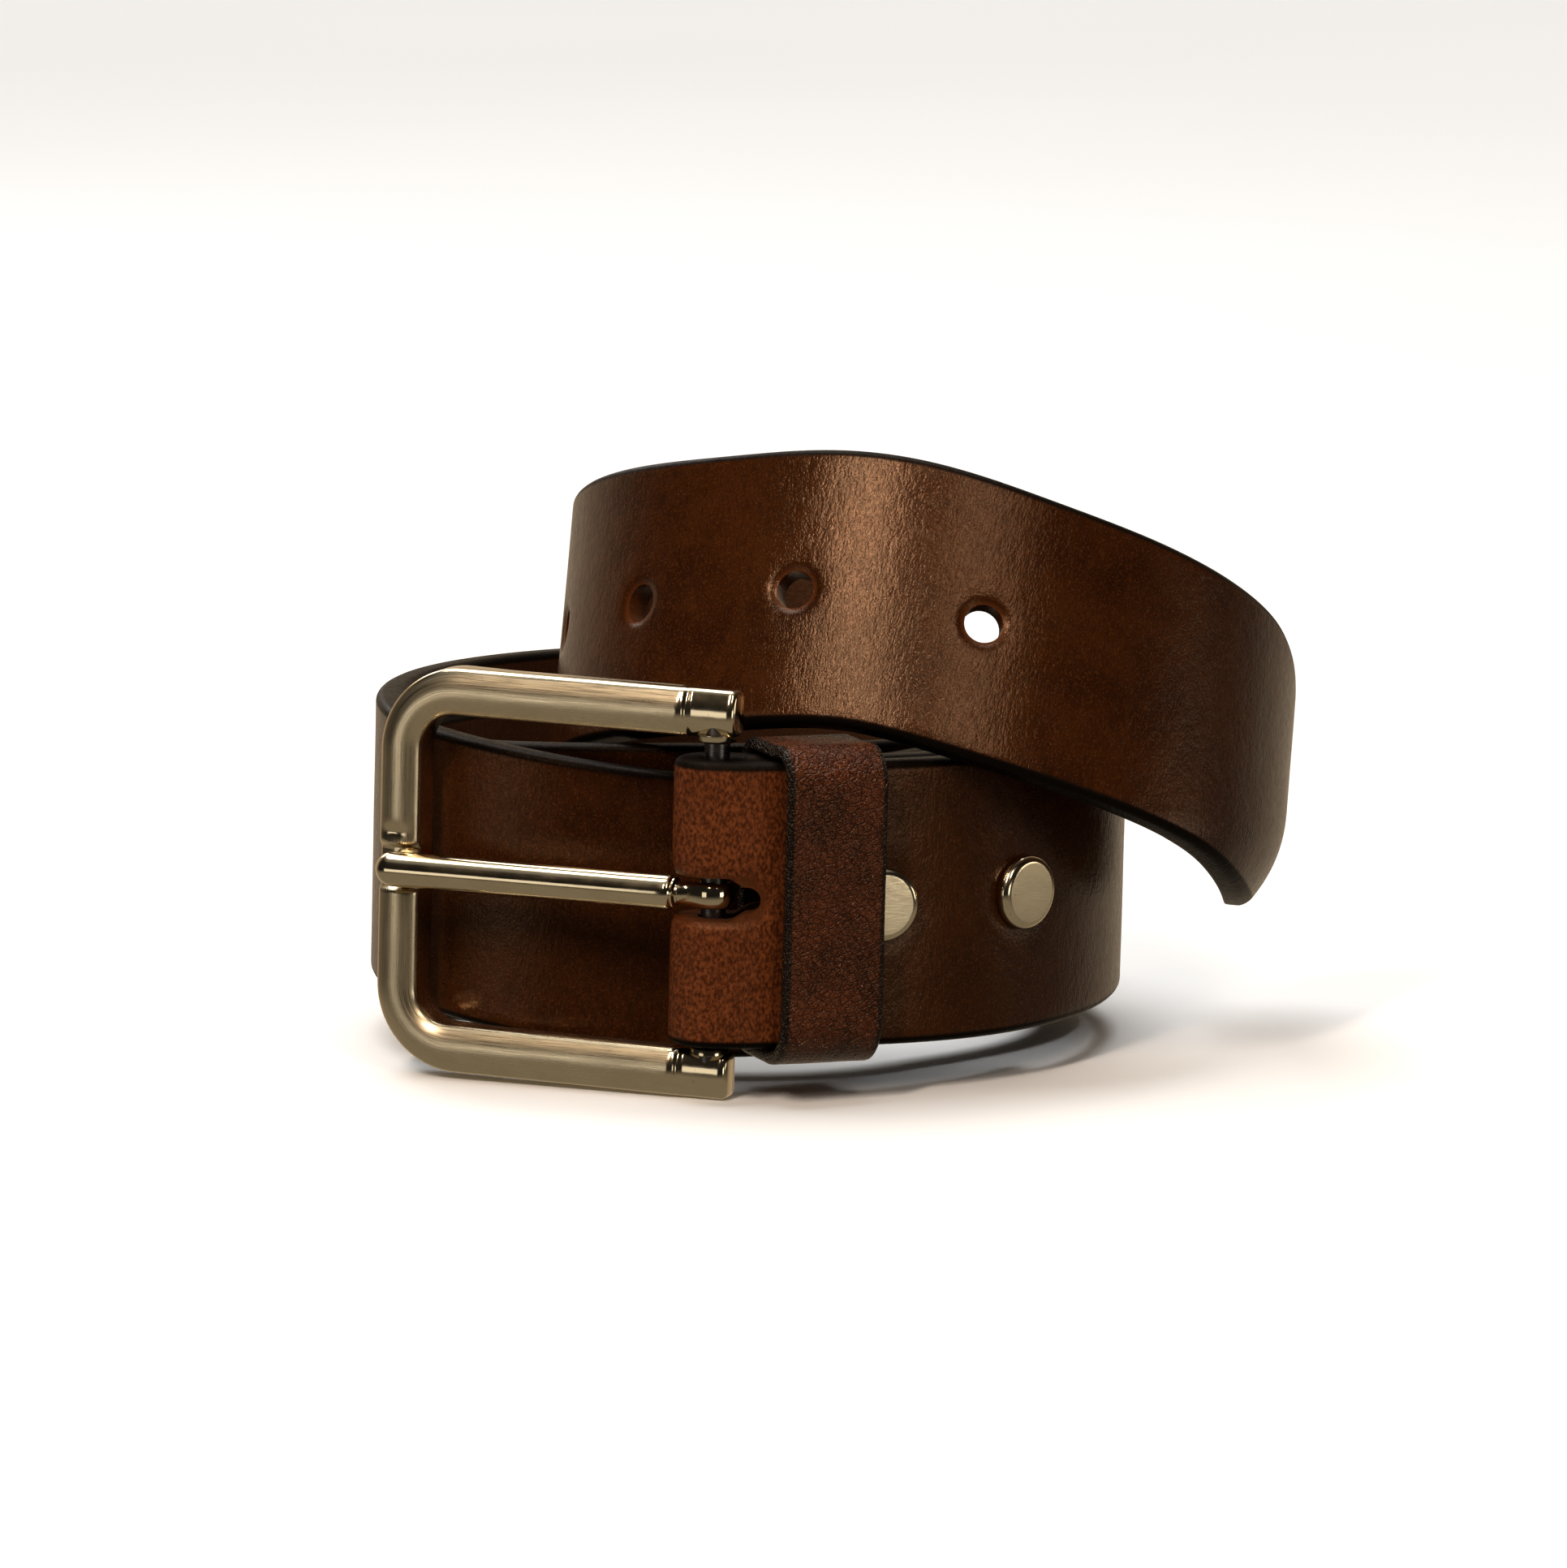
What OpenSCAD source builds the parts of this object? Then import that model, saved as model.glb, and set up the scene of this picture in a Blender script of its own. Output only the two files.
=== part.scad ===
// Leather dress belt, rolled up and standing on its edge, with its buckle at the front left.
// Millimetres. +Z is up, -Y is the front, and the belt stands on Z = 0.
// The strap winds inwards from the buckle for two and a half turns, climbs out at the back left
// and hangs its last turn over the front of the roll.

/* [Strap] */
// Width of the strap
strap_w = 38; // [37:0.5:39]
// Thickness of the leather
strap_t = 3.8; // [3.4:0.1:3.9]
// Rounding of the strap's burnished edges
edge_cut = 0.9; // [0.5:0.1:1.2]
// Diameter of the prong holes
hole_d = 5.2; // [4.8:0.1:5.6]
// Angle between two prong holes, 25 mm apart on the strap
hole_step = 29.3; // [27:0.1:31]
// Number of prong holes
hole_n = 5; // [3:1:5]

/* [Roll] */
// Outer radius of the standing roll
roll_r = 51.2; // [51:0.1:51.5]
// How far the inner turns stand back at the front, to clear the keeper
dent = 14.2; // [14:0.1:14.6]
// Gap between two turns
turn_gap = 0.4; // [0.3:0.05:0.6]
// Radius of the last turn, which hangs over the front
loop_r = 48.93; // [48.6:0.1:49.2]

/* [Buckle] */
// Outer height of the buckle frame
frame_h = 54.4; // [53.8:0.2:55]
// Width of the frame's two arms
arm_w = 6.4; // [6:0.1:6.6]
// Length from the heel bar to the outside of the frame's far side
frame_l = 47.8; // [47:0.2:48.6]
// Width of the frame's far side
side_w = 5.8; // [5.2:0.1:6.2]
// Thickness of the frame
frame_t = 4.6; // [4.2:0.1:4.8]
// Angle of the buckle behind the front plane
buckle_turn = 22; // [21:0.5:23]
// Diameter of the heel bar
bar_d = 3.4; // [3.2:0.1:3.5]
// Diameter of the prong
prong_d = 4.7; // [4.3:0.1:4.8]

/* [Keeper] */
// Width of the keeper loop along the strap
keeper_w = 14; // [12:0.5:14.5]
// Thickness of the keeper leather
keeper_t = 1.8; // [1.6:0.1:1.9]

/* [Studs] */
// Diameter of the stud heads
stud_d = 10; // [9:0.2:10.4]
// Diameter of the stud barrels
barrel_d = 5; // [4.6:0.1:5.2]

/* [Hidden] */
$fn = 48;
fit = 0.05;              // running clearance of a hinge, on the radius
step_deg = 5;            // angle between two sections of the strap
mid_r = roll_r - strap_t / 2;
turn_in = strap_t + turn_gap;
roll_at = [-5.4, 0.14, 0];
loop_at = [14.89, -12.65, 0];
base_z = 1.4;            // lift of the outer turn and the last turn over their ring planes
outer_h = 25.3;
inner_h = 21.2;
loop_h = 44.52;
loop_pitch = -4.91;      // climb of the last turn for one radian
loop_turn = 1080;        // the last turn passes the front here
end_deg = 1192;          // angle of the tip
tip_deg = 51;            // length of the pointed tip, as an angle
outer_axis = unit([0.026, 0.010, 1]);
inner_axis = unit([0, 0.08, 1]);
loop_axis = unit([0.097, 0.473, 1]);

// Heel bar and the fold of the strap round it
bar_deg = -5.3;
bar_r = 48.6;
fold_in = bar_d / 2 + fit;
fold_r = fold_in + strap_t / 2;
back_r = mid_r - strap_t - 0.1;
back_end = 55;           // angle where the turned-back ply ends
fold_run = 20;           // angle over which the front ply settles onto the roll
front_sag = 0.8;          // the strap has slid down the heel bar by this much
slot_h = 5.8;
slot_run = 6.6;

// Studs and keeper, as angles round the roll
stud_deg = [20, 45.6];
ply_t = 2 * strap_t + 0.1;
head_t = 1.6;
screw_t = 1.2;
seat = 0.4;              // the flat screw heads bridge the hollow back of the strap by this much
keeper_deg = 10.8;
keeper_yaw = 2;         // it has swung this far off the strap's own direction
keeper_gap = 2.9;        // room for the tip under the front of the keeper
keeper_in = 14.45;
hole_first = loop_turn - 79 - hole_step;
hole_drop = 0.6;         // the holes sit this far below the middle of the strap

function unit(v) = v / norm(v);
function clamp01(x) = min(1, max(0, x));
function ease(a, b, x) = let (t = clamp01((x - a) / (b - a))) t * t * (3 - 2 * t);
function bump(c, w, x) = exp(-pow((x - c) / w, 2));

// Radius of the middle of the leather, at an angle counted from the front through all turns
function roll_radius(a) =
    mid_r + (bar_r + fold_r - mid_r) * (1 - ease(bar_deg, bar_deg + fold_run, a))
    - dent * ease(288, 352, a) + (dent - turn_in) * ease(400, 465, a)
    - dent * ease(648, 712, a) + (dent - turn_in) * ease(760, 825, a)
    - 1.6 * bump(872, 26, a);

// Point on a leaning ring: centre, axis, radius, height along the axis, angle from the front
function side_of(axis) = unit([1, 0, 0] - axis * axis[0]);
function ring(at, axis, r, h, a) =
    at + [0, 0, base_z] + axis * h + r * (sin(a) * side_of(axis) - cos(a) * cross(axis, side_of(axis)));

function standing(a, r) =
    ring(roll_at, outer_axis, r, outer_h, a) * (1 - ease(300, 420, a))
    + ring(roll_at, inner_axis, r, inner_h, a) * ease(300, 420, a)
    - [0, 0, 4.6 * bump(346, 46, a) + front_sag * (1 - ease(30, 110, a))];

function hanging(a) =
    let (d = a - loop_turn, q = max(d, -95))
    ring(loop_at, loop_axis, loop_r - 12 * bump(-178, 55, d),
         loop_h + loop_pitch * q * PI / 180 + 2.3 * bump(-10, 21, d), a);

function middle(a) =
    let (u = ease(850, 990, a))
    standing(a, roll_radius(a)) * (1 - u) + hanging(a) * u + [0, 0, 14 * bump(903, 34, a)];

function width_axis(a) =
    unit(unit(outer_axis * (1 - ease(300, 420, a)) + inner_axis * ease(300, 420, a))
         * (1 - ease(895, 1005, a)) + loop_axis * ease(895, 1005, a));

// A section is [middle, along, across, outward]
function section(p, along, axis) =
    let (t = unit(along), w = unit(axis - t * (axis * t))) [p, t, w, cross(t, w)];
function strap_at(a) = section(middle(a), middle(a + 0.5) - middle(a - 0.5), width_axis(a));

// The turned-back ply, from its end to the heel bar
function back_radius(a) =
    back_r + (bar_r - fold_r - back_r) * (1 - ease(bar_deg, bar_deg + 12, a));
function back_at(a) =
    section(standing(a, back_radius(a)),
            standing(a - 0.5, back_radius(a - 0.5)) - standing(a + 0.5, back_radius(a + 0.5)),
            outer_axis);

// The heel bar's own section, and the fold round it
bar_at = section(standing(bar_deg, bar_r), standing(bar_deg + 0.5, bar_r)
                 - standing(bar_deg - 0.5, bar_r), outer_axis);
function fold_at(b) =
    section(bar_at[0] + fold_r * (sin(b) * bar_at[3] - cos(b) * bar_at[1]),
            cos(b) * bar_at[3] + sin(b) * bar_at[1], outer_axis);

// Half the strap's width, which closes to a rounded point at the tip
function half_w(a) =
    strap_w / 2 * max(0.05, pow(1 - pow(clamp01((a - end_deg + tip_deg) / tip_deg), 2), 0.75));

// Corners of a section of the strap; more is added on its inner side, for the bore of the fold to cut
function outline(s, hw, more = 0) =
    let (c = min(edge_cut, hw / 2), t = strap_t / 2, n = t + more)
    [for (q = [[hw - c, t], [hw, t - c], [hw, c - n], [hw - c, -n],
               [c - hw, -n], [-hw, c - n], [-hw, t - c], [c - hw, t]])
        s[0] + s[2] * q[0] + s[3] * q[1]];

strap_rings = concat(
    [for (a = [back_end : -step_deg : bar_deg + 1]) outline(back_at(a), strap_w / 2)],
    [for (b = [-90 : 15 : 90]) outline(fold_at(b), strap_w / 2, 0.4)],
    [for (a = [bar_deg + 3 : step_deg : end_deg - 12]) outline(strap_at(a), half_w(a))],
    [for (a = [end_deg - 10 : 2.5 : end_deg]) outline(strap_at(a), half_w(a))]);

// The lowest point of the strap and of the buckle, which both come down to Z = 0
strap_low = min([for (r = strap_rings) for (p = r) p[2]]);
buckle_low = bar_at[0][2] + front_sag - frame_h / 2 - 0.15;
drop = min(strap_low, buckle_low);

// The keeper's own section, turned a little off the strap, and the four walls of its loop
keeper_s = let (s = strap_at(keeper_deg), c = cos(keeper_yaw), d = sin(keeper_yaw))
    [s[0], s[1] * c - s[3] * d, s[2], s[3] * c + s[1] * d];
keeper_front = -(strap_t / 2 + keeper_gap);
keeper_back = keeper_front + keeper_in;
keeper_low = -strap_w / 2 - 0.35;
keeper_high = strap_w / 2 + 0.35;
keeper_rise = 1.7;       // the front of the loop stands this much higher than its back
keeper_lift = 1.7;        // length of the rise
function keeper_front_y() = min([for (x = [-keeper_w / 2, keeper_w / 2]) for (z = [keeper_low, keeper_high])
    keeper_s[0][1] + keeper_s[1][1] * x - keeper_s[3][1] * (keeper_front - keeper_t) + keeper_s[2][1] * z]);

// The strap's box, and the keeper in front of it, put the origin under the middle of the belt
strap_x = [for (r = strap_rings) for (p = r) p[0]];
strap_y = [for (r = strap_rings) for (p = r) p[1]];
mid_x = (min(strap_x) + max(strap_x)) / 2;
mid_y = (keeper_front_y() + max(strap_y)) / 2;

module sweep(rings) {
    n = len(rings);
    m = len(rings[0]);
    sides = [for (i = [0 : n - 2]) for (j = [0 : m - 1]) for (k = [0, 1])
        k == 0 ? [i * m + j, i * m + (j + 1) % m, (i + 1) * m + j]
               : [i * m + (j + 1) % m, (i + 1) * m + (j + 1) % m, (i + 1) * m + j]];
    first = [[for (j = [m - 1 : -1 : 0]) j]];
    last = [[for (j = [0 : m - 1]) (n - 1) * m + j]];
    polyhedron(points = [for (r = rings) for (p = r) p], faces = concat(sides, first, last));
}

// Puts children with X along the strap, Y into the roll and Z across, at a section
module on(s, out = 0) {
    o = s[0] + s[3] * out;
    multmatrix([[s[1][0], -s[3][0], s[2][0], o[0]],
                [s[1][1], -s[3][1], s[2][1], o[1]],
                [s[1][2], -s[3][2], s[2][2], o[2]],
                [0, 0, 0, 1]]) children();
}

module placed() translate([-mid_x, -mid_y, -drop]) children();

// Puts children with X away from the far side, -Y to the front and Z up the heel bar
module at_buckle() on(bar_at) translate([0, 0, front_sag]) rotate([0, 0, -buckle_turn - bar_deg]) children();

// The middle of both plies at a stud, measured from the front ply
module at_stud(i) on(strap_at(stud_deg[i]), strap_t / 2) children();

module rod(d, l) rotate([-90, 0, 0]) cylinder(d = d, h = l);

module strap() color([0.36, 0.18, 0.09]) placed() difference() {
    sweep(strap_rings);
    for (i = [0 : hole_n - 1])
        on(strap_at(hole_first + i * hole_step))
            translate([0, -4, -hole_drop]) rod(hole_d, 8);
    for (i = [0, 1]) at_stud(i) translate([0, -2, 0]) rod(barrel_d + 2 * fit, ply_t + 4);
    on(bar_at) {
        translate([0, 0, -strap_w]) cylinder(r = fold_in, h = 2 * strap_w);
        translate([-10, -9, front_sag - slot_h / 2]) cube([10 + slot_run - slot_h / 2, 18, slot_h]);
        translate([slot_run - slot_h / 2, -9, front_sag]) rod(slot_h, 18);
    }
}

// Keeper: a leather band bent into a loop, butted and stapled behind the strap
module keeper_outline(grow) {
    r = 2.2;
    front = keeper_front + r;
    low = keeper_low + r;
    high = keeper_high - r;
    module around(points) hull() for (p = points) translate(p) circle(r = r + grow, $fn = 32);
    around([[front, low], [front, high], [keeper_back - r, high], [keeper_back - r, low]]);
    around([[front, low], [front, high + keeper_rise], [front + keeper_lift, high]]);
}

module at_keeper() placed() on(keeper_s) children();

module staple_legs(d) for (z = [-9, -3, 3, 9])
    translate([0, keeper_back - 0.3, z]) rod(d, keeper_t + 0.3);

module keeper_loop() color([0.34, 0.15, 0.08]) at_keeper() difference() {
    rotate([90, 0, 90]) linear_extrude(keeper_w, center = true) difference() {
        keeper_outline(keeper_t);
        keeper_outline(0);
    }
    staple_legs(0.9);
}

module keeper_staples() color("silver") at_keeper() {
    staple_legs(0.9);
    for (z = [-6, 6]) translate([-0.45, keeper_back + keeper_t, z - 3.45]) cube([0.9, 0.5, 6.9]);
}

// Buckle frame: two arms and a far side, in one bent casting, open at the heel bar
win_h = frame_h / 2 - arm_w;
heel = 2.9;
side_back = 1.8;         // the far side is deeper than the arms by this much
taper_end = -30;         // the arms reach their own thickness here
module frame_outer() {
    r = 9;
    translate([-frame_l + r, -frame_h / 2]) square([frame_l - r + heel, frame_h]);
    translate([-frame_l, -frame_h / 2 + r]) square([r, frame_h - 2 * r]);
    for (s = [-1, 1]) translate([-frame_l + r, s * (frame_h / 2 - r)]) circle(r = r);
}
module frame_window() {
    r = 3.6;
    x = -frame_l + side_w;
    translate([x + r, -win_h]) square([frame_l + 10, 2 * win_h]);
    translate([x, -win_h + r]) square([r, 2 * (win_h - r)]);
    for (s = [-1, 1]) translate([x + r, s * (win_h - r)]) circle(r = r);
}

// The frame seen along the heel bar: deepest at the far side
module frame_edge() {
    t = frame_t / 2;
    polygon([[-frame_l, -t], [heel, -t], [heel, t], [taper_end, t],
             [-frame_l + side_w, t + side_back], [-frame_l, t + side_back]]);
}

rest_x = -frame_l + side_w / 2;
rest_deep = 1.1;
prong_r = prong_d / 2;
rest_y = -(frame_t / 2 - rest_deep + prong_r + fit);
eye_y = -1.2;
prong_tilt = atan((eye_y - rest_y) / -rest_x);

// Centre line of the prong, from above the heel bar down to the rest
module along_prong() translate([0, eye_y, 0]) rotate([0, 0, prong_tilt]) children();

module buckle_frame() color([0.72, 0.65, 0.5]) placed() at_buckle() difference() {
    union() {
        difference() {
            intersection() {
                rotate([90, 0, 0]) linear_extrude(4 * frame_t, center = true) difference() {
                    frame_outer();
                    frame_window();
                }
                linear_extrude(frame_h, center = true) frame_edge();
            }
            for (s = [-1, 1]) translate([-3.4, -frame_t / 2 - 1, s > 0 ? win_h - 1 : -frame_h])
                cube([20, 1.7, frame_h - win_h + 1]);
        }
        for (s = [-1, 1]) translate([0, 0, s * (win_h - 0.25)]) cylinder(r = 2.6, h = 0.7, center = true);
    }
    cylinder(d = bar_d, h = 2 * (win_h + 4.5), center = true);
    along_prong() rotate([0, -90, 0]) translate([0, 0, frame_l - side_w - 4])
        cylinder(r = prong_r + fit, h = 20);
}

module buckle_bar() color([0.75, 0.68, 0.54]) placed() at_buckle()
    cylinder(d = bar_d, h = 2 * (win_h + 4.5), center = true);

// Prong: a round rod whose eye wraps the heel bar
eye_r = bar_d / 2 + fit + 1.6;
module prong() color([0.78, 0.7, 0.55]) placed() at_buckle() difference() {
    union() {
        cylinder(r = eye_r, h = 4.2, center = true);
        along_prong() rotate([0, -90, 0]) {
            cylinder(r = 2.1, h = 5);
            translate([0, 0, 4.4]) cylinder(r = prong_r, h = frame_l - 4.4 - prong_r);
            translate([0, 0, frame_l - prong_r]) sphere(r = prong_r);
        }
    }
    cylinder(r = bar_d / 2 + fit, h = 20, center = true);
}

// Stud: a barrel post with a domed head in front, and a slotted screw from behind
module stud_post(i) color([0.8, 0.74, 0.6]) placed() at_stud(i) difference() {
    union() {
        translate([0, -head_t - 0.02, 0]) rod(stud_d - 1.2, head_t);
        translate([0, -head_t / 2 - 0.02, 0]) rod(stud_d, head_t / 2);
        translate([0, -0.1, 0]) rod(barrel_d, ply_t - 0.2);
    }
    translate([0, 1, 0]) rod(3, ply_t);
}

module stud_screw(i) color([0.62, 0.56, 0.44]) placed() at_stud(i) difference() {
    union() {
        translate([0, ply_t + seat, 0]) rod(stud_d - 1, screw_t);
        translate([0, 2, 0]) rod(3, ply_t - 1.8);
    }
    translate([-stud_d, ply_t + seat + screw_t - 0.5, -0.5]) cube([2 * stud_d, 1, 1]);
}

module stud_post_1() stud_post(0);
module stud_post_2() stud_post(1);
module stud_screw_1() stud_screw(0);
module stud_screw_2() stud_screw(1);

strap();
keeper_loop();
keeper_staples();
buckle_frame();
buckle_bar();
prong();
stud_post_1();
stud_post_2();
stud_screw_1();
stud_screw_2();
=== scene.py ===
"""A leather dress belt, rolled up and standing on its edge: the looks of each piece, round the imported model.

Shape functions work in millimetres, first in the roll's own coordinates and then in the row frame.
Leather surfaces carry two attributes that their materials read: "run" is (along the strap, across it,
out of it) and "place" is (distance to the nearest edge, to the nearest cut, and 1 on the flesh side).
Metal surfaces carry "brush": (along the brushing, across it, how polished the surface is, from 0 to 1).
"""
import math

import bmesh
import bpy
import numpy as np
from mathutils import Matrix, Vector
from mathutils.kdtree import KDTree


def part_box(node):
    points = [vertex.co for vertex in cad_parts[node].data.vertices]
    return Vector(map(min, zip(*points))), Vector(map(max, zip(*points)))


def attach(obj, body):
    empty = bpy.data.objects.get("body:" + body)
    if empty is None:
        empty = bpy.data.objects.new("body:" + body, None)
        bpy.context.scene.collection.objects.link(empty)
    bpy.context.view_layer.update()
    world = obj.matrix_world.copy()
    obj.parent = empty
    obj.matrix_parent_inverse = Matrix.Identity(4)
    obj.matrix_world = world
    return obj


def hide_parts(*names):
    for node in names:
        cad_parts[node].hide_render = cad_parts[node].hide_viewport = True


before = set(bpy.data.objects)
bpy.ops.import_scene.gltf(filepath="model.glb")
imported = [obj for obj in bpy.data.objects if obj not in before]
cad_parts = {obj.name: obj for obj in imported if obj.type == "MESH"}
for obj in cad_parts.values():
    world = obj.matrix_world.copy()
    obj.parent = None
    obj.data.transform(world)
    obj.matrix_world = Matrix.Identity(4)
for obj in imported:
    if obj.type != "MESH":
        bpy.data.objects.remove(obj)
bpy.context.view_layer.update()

MM = 0.001

# ---------------------------------------------------------------------------------------------
# The belt's own dimensions
# ---------------------------------------------------------------------------------------------
STRAP_W = 38.0
STRAP_T = 3.8
EDGE_R = 1.15            # rounding of the burnished edges
ROLL_R = 51.2
DENT = 14.2
TURN_GAP = 0.4
LOOP_R = 48.93
ROLL_AT = np.array([-5.4, 0.14, 0.0])
LOOP_AT = np.array([14.89, -12.65, 0.0])
BASE_Z = 1.4
OUTER_H = 25.3
INNER_H = 21.2
LOOP_H = 44.52
LOOP_PITCH = -4.91
LOOP_TURN = 1080.0
END_DEG = 1192.0
TIP_DEG = 51.0
FRONT_SAG = 0.8
INNER_SAG = 4.6          # the turn behind the buckle hangs lower by this
INWARD = (300, 420)      # the first turn passes to the inside of the roll between these angles
CLIMB = (850, 990)       # the last turn leaves the roll between these
TILT = (895, 1005)       # and leans over between these
LEVEL_FROM = -95         # further back than this, the hanging turn keeps its height
REAR_IN = 12.0           # its rear lies further in by this
REAR_LIFT = 14.0         # and higher by this
FRONT_LIFT = 2.3         # its front is raised by this, over the keeper

BAR_DEG = -5.3
BAR_R = 48.6
BAR_D = 3.4
FIT = 0.05
FOLD_R = BAR_D / 2 + FIT + STRAP_T / 2
MID_R = ROLL_R - STRAP_T / 2
TURN_IN = STRAP_T + TURN_GAP
BACK_R = MID_R - STRAP_T - 0.1
BACK_END = 55.0
FOLD_RUN = 20.0
SLOT_H = 5.8
SLOT_RUN = 6.6

HOLE_D = 5.2
HOLE_STEP = 29.3
HOLE_N = 5
HOLE_DROP = 0.6
HOLE_DEG = LOOP_TURN - 79 - HOLE_STEP + HOLE_STEP * np.arange(HOLE_N)
STUD_DEG = np.array([20.0, 45.6])
STUD_D = 10.0

KEEPER_DEG = 10.8
KEEPER_YAW = 2.0
KEEPER_W = 14.0
KEEPER_T = 1.8
KEEPER_FRONT = -(STRAP_T / 2 + 2.9)
KEEPER_BACK = KEEPER_FRONT + 14.45
KEEPER_LOW = -STRAP_W / 2 - 0.35
KEEPER_HIGH = STRAP_W / 2 + 0.35
KEEPER_RISE = 1.7

FRAME_H = 54.4
FRAME_L = 47.8
FRAME_T = 4.6
ARM_W = 6.4
SIDE_W = 5.8
HEEL = 2.9
BUCKLE_TURN = 22.0
SIDE_BACK = 1.8          # the far side is deeper than the arms by this much
TAPER_END = -30.0        # the arms reach their own thickness here
REST_DEEP = 1.1
PRONG_R = 2.35
EYE_Y = -1.2


# ---------------------------------------------------------------------------------------------
# The centre line of the strap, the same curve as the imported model's. Angles are in degrees from
# the front, counted through all turns.
# ---------------------------------------------------------------------------------------------
def unit(v):
    v = np.asarray(v, float)
    return v / np.linalg.norm(v, axis=-1, keepdims=True)


def ease(a, b, x):
    t = np.clip((np.asarray(x, float) - a) / (b - a), 0, 1)
    return t * t * (3 - 2 * t)


def bump(c, w, x):
    return np.exp(-(((np.asarray(x, float) - c) / w) ** 2))


def col(x):
    return np.asarray(x, float)[:, None]


OUTER_AXIS = unit([0.026, 0.010, 1])
INNER_AXIS = unit([0, 0.08, 1])
LOOP_AXIS = unit([0.097, 0.473, 1])


def step_in(a):
    """Change of radius where a turn passes behind the buckle, to end inside the one before."""
    return -DENT * ease(288, 352, a) + (DENT - TURN_IN) * ease(400, 465, a)


def roll_radius(a):
    fold = (BAR_R + FOLD_R - MID_R) * (1 - ease(BAR_DEG, BAR_DEG + FOLD_RUN, a))
    return MID_R + fold + step_in(a) + step_in(a - 360) - 1.6 * bump(872, 26, a)


def ring(at, axis, r, h, a):
    """Points on a leaning ring: its centre, axis, radius, height along the axis, and angles."""
    side = unit(np.array([1.0, 0, 0]) - axis * axis[0])
    turn = np.radians(a)
    r = np.broadcast_to(r, turn.shape)
    h = np.broadcast_to(h, turn.shape)
    spoke = col(np.sin(turn)) * side - col(np.cos(turn)) * np.cross(axis, side)
    return at + [0, 0, BASE_Z] + col(h) * axis + col(r) * spoke


def standing(a, r):
    inward = col(ease(*INWARD, a))
    outer = ring(ROLL_AT, OUTER_AXIS, r, OUTER_H, a)
    inner = ring(ROLL_AT, INNER_AXIS, r, INNER_H, a)
    sag = INNER_SAG * bump(346, 46, a) + FRONT_SAG * (1 - ease(30, 110, a))
    return outer * (1 - inward) + inner * inward - col(sag) * [0, 0, 1]


def hanging(a):
    d = a - LOOP_TURN
    q = np.maximum(d, LEVEL_FROM)
    h = LOOP_H + LOOP_PITCH * np.radians(q) + FRONT_LIFT * bump(-10, 21, d)
    return ring(LOOP_AT, LOOP_AXIS, LOOP_R - REAR_IN * bump(-178, 55, d), h, a)


def middle(a):
    a = np.atleast_1d(np.asarray(a, float))
    u = col(ease(*CLIMB, a))
    lift = col(REAR_LIFT * bump(903, 34, a)) * [0, 0, 1]
    return standing(a, roll_radius(a)) * (1 - u) + hanging(a) * u + lift


def width_axis(a):
    inward = col(ease(*INWARD, a))
    hang = col(ease(*TILT, a))
    upright = unit(OUTER_AXIS * (1 - inward) + INNER_AXIS * inward)
    return unit(upright * (1 - hang) + LOOP_AXIS * hang)


def sections(points, along, axes):
    """Frames along a path: middle, along, across and outward, one row each."""
    t = unit(along)
    axes = np.broadcast_to(axes, t.shape)
    w = unit(axes - t * np.sum(axes * t, axis=1, keepdims=True))
    return points, t, w, np.cross(t, w)


def strap_at(a):
    a = np.atleast_1d(np.asarray(a, float))
    return sections(middle(a), middle(a + 0.5) - middle(a - 0.5), width_axis(a))


def back_at(a):
    def spot(b):
        rise = (BAR_R - FOLD_R - BACK_R) * (1 - ease(BAR_DEG, BAR_DEG + 12, b))
        return standing(b, BACK_R + rise)

    return sections(spot(a), spot(a - 0.5) - spot(a + 0.5), OUTER_AXIS)


def bar_section():
    a = np.array([BAR_DEG])
    return sections(
        standing(a, BAR_R), standing(a + 0.5, BAR_R) - standing(a - 0.5, BAR_R), OUTER_AXIS
    )


def fold_at(b):
    c, t, _, n = (v[0] for v in bar_section())
    sine, cosine = col(np.sin(np.radians(b))), col(np.cos(np.radians(b)))
    return sections(c + FOLD_R * (sine * n - cosine * t), cosine * n + sine * t, OUTER_AXIS)


def half_width(a):
    gone = np.clip((a - END_DEG + TIP_DEG) / TIP_DEG, 0, 1)
    return STRAP_W / 2 * np.maximum(0.04, (1 - gone**2) ** 0.75)


def spread(*runs, least):
    """Sorted values of several runs, with those closer than least to the one before left out."""
    values = np.sort(np.concatenate(runs))
    kept = [values[0]]
    for v in values[1:]:
        if v - kept[-1] >= least:
            kept.append(v)
    return np.array(kept)


def strap_path():
    """Frames, half widths and run lengths of the whole strap, from the turned-back end to the tip."""
    back = np.arange(BACK_END, BAR_DEG + 1, -1.5)
    fold = np.arange(-90, 91, 7.5)
    near_holes = [np.arange(h - 6, h + 6, 0.45) for h in HOLE_DEG]
    front = spread(np.arange(BAR_DEG + 2.5, END_DEG, 1.2), *near_holes, least=0.4)
    front = np.append(front, END_DEG)
    parts = [back_at(back), fold_at(fold), strap_at(front)]
    frames = [np.vstack([p[i] for p in parts]) for i in range(4)]
    wide = np.full(len(back) + len(fold), STRAP_W / 2)
    half = np.concatenate([wide, half_width(front)])
    step = np.linalg.norm(np.diff(frames[0], axis=0), axis=1)
    run = np.concatenate([[0], np.cumsum(step)])
    run -= run[len(back) + len(fold) // 2]
    return frames, half, run, len(back) + len(fold), front


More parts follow.
